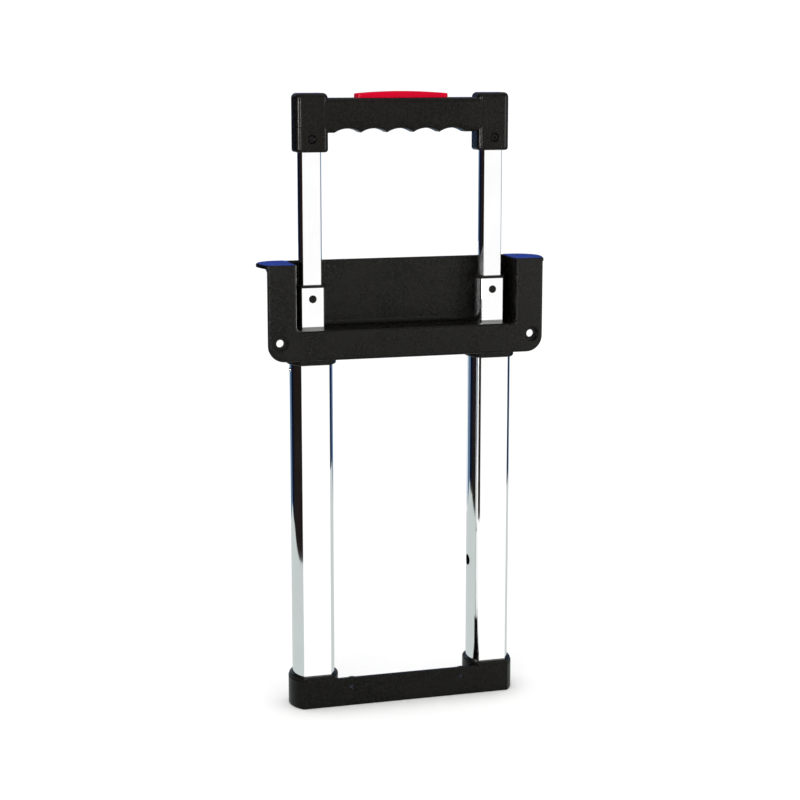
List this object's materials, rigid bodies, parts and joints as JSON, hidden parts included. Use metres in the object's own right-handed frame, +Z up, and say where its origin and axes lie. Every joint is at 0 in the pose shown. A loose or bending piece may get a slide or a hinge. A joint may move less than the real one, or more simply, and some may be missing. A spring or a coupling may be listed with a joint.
{
  "type": "telescoping trolley handle",
  "caption": "Telescoping pull handle of a rolling tool box: moulded recess housing and foot bracket joined by wide tubes, with sliding inner stages, a finger grip and a release button.",
  "frame": {"origin": "under the middle of the assembly, on the foot bracket's underside, midway between the housing's front face and the rear plane", "axes": "+Z up along the tubes, -Y towards the front (the open side of the recess), X across the two tubes"},
  "size_m": [0.253, 0.042, 0.5306],
  "materials": {
    "black_moulding": "satin, fine moulded texture",
    "grip_moulding": "satin, fine moulded texture",
    "collar_plastic": "satin",
    "nylon": "matt",
    "polished_tube": "mirror polished",
    "bright_steel": "bright",
    "zinc_steel": "zinc plated",
    "spring_steel": "bright drawn wire",
    "black_screw": "black oxide",
    "red_button": "gloss"
  },
  "bodies": {
    "frame": {"housing": "black_moulding", "foot_bracket": "black_moulding", "outer_tube_left": "polished_tube", "outer_tube_right": "polished_tube", "guide_bush_left": "nylon", "guide_bush_right": "nylon", "tube_plug_left": "nylon", "tube_plug_right": "nylon", "plug_screws": "zinc_steel", "socket_screws": "zinc_steel", "bush_rivets": "bright_steel"},
    "middle_left": {"middle_tube_left": "polished_tube", "top_collar_left": "collar_plastic", "lock_shoe_left": "nylon", "shoe_spring_left": "spring_steel"},
    "middle_right": {"middle_tube_right": "polished_tube", "top_collar_right": "collar_plastic", "lock_shoe_right": "nylon", "shoe_spring_right": "spring_steel"},
    "shoe_pin_left": {"shoe_pin_left": "bright_steel"},
    "shoe_pin_right": {"shoe_pin_right": "bright_steel"},
    "handle": {"inner_tube_left": "polished_tube", "inner_tube_right": "polished_tube", "lock_block_left": "nylon", "lock_block_right": "nylon", "grip_front_shell": "grip_moulding", "grip_rear_shell": "grip_moulding", "grip_screws": "black_screw", "shell_screws": "black_screw", "button_springs": "spring_steel"},
    "button": {"button": "red_button", "button_yoke": "nylon", "push_rod_left": "zinc_steel", "push_rod_right": "zinc_steel"},
    "lock_pin_left": {"lock_pin_left": "bright_steel"},
    "lock_pin_right": {"lock_pin_right": "bright_steel"}
  },
  "joints": [
    {"name": "middle_left_slide", "type": "slide", "parent": "frame", "child": "middle_left", "axis": [0, 0, 1], "range_m": [-0.033, 0.218]},
    {"name": "middle_right_slide", "type": "slide", "parent": "frame", "child": "middle_right", "axis": [0, 0, 1], "range_m": [-0.033, 0.218]},
    {"name": "handle_slide", "type": "slide", "parent": "middle_left", "child": "handle", "axis": [0, 0, 1], "range_m": [-0.1075, 0.12]},
    {"name": "button_press", "type": "slide", "parent": "handle", "child": "button", "axis": [0, 0, -1], "range_m": [0, 0.0035], "stiffness_N_per_m": 1500, "springref_m": -0.002, "deforming": ["button_springs"]},
    {"name": "lock_pin_left_pull", "type": "slide", "parent": "handle", "child": "lock_pin_left", "axis": [-1, 0, 0], "range_m": [0, 0.0025]},
    {"name": "lock_pin_right_pull", "type": "slide", "parent": "handle", "child": "lock_pin_right", "axis": [1, 0, 0], "range_m": [0, 0.0025]},
    {"name": "shoe_pin_left_pull", "type": "slide", "parent": "middle_left", "child": "shoe_pin_left", "axis": [-1, 0, 0], "range_m": [0, 0.003], "stiffness_N_per_m": 800, "springref_m": -0.003},
    {"name": "shoe_pin_right_pull", "type": "slide", "parent": "middle_right", "child": "shoe_pin_right", "axis": [1, 0, 0], "range_m": [0, 0.003], "stiffness_N_per_m": 800, "springref_m": -0.003}
  ],
  "couplings": [
    {"joint": "middle_right_slide", "follows": "middle_left_slide", "ratio": 1},
    {"joint": "lock_pin_left_pull", "follows": "button_press", "ratio": 0.71429},
    {"joint": "lock_pin_right_pull", "follows": "button_press", "ratio": 0.71429},
    {"joint": "shoe_pin_right_pull", "follows": "shoe_pin_left_pull", "ratio": 1}
  ]
}
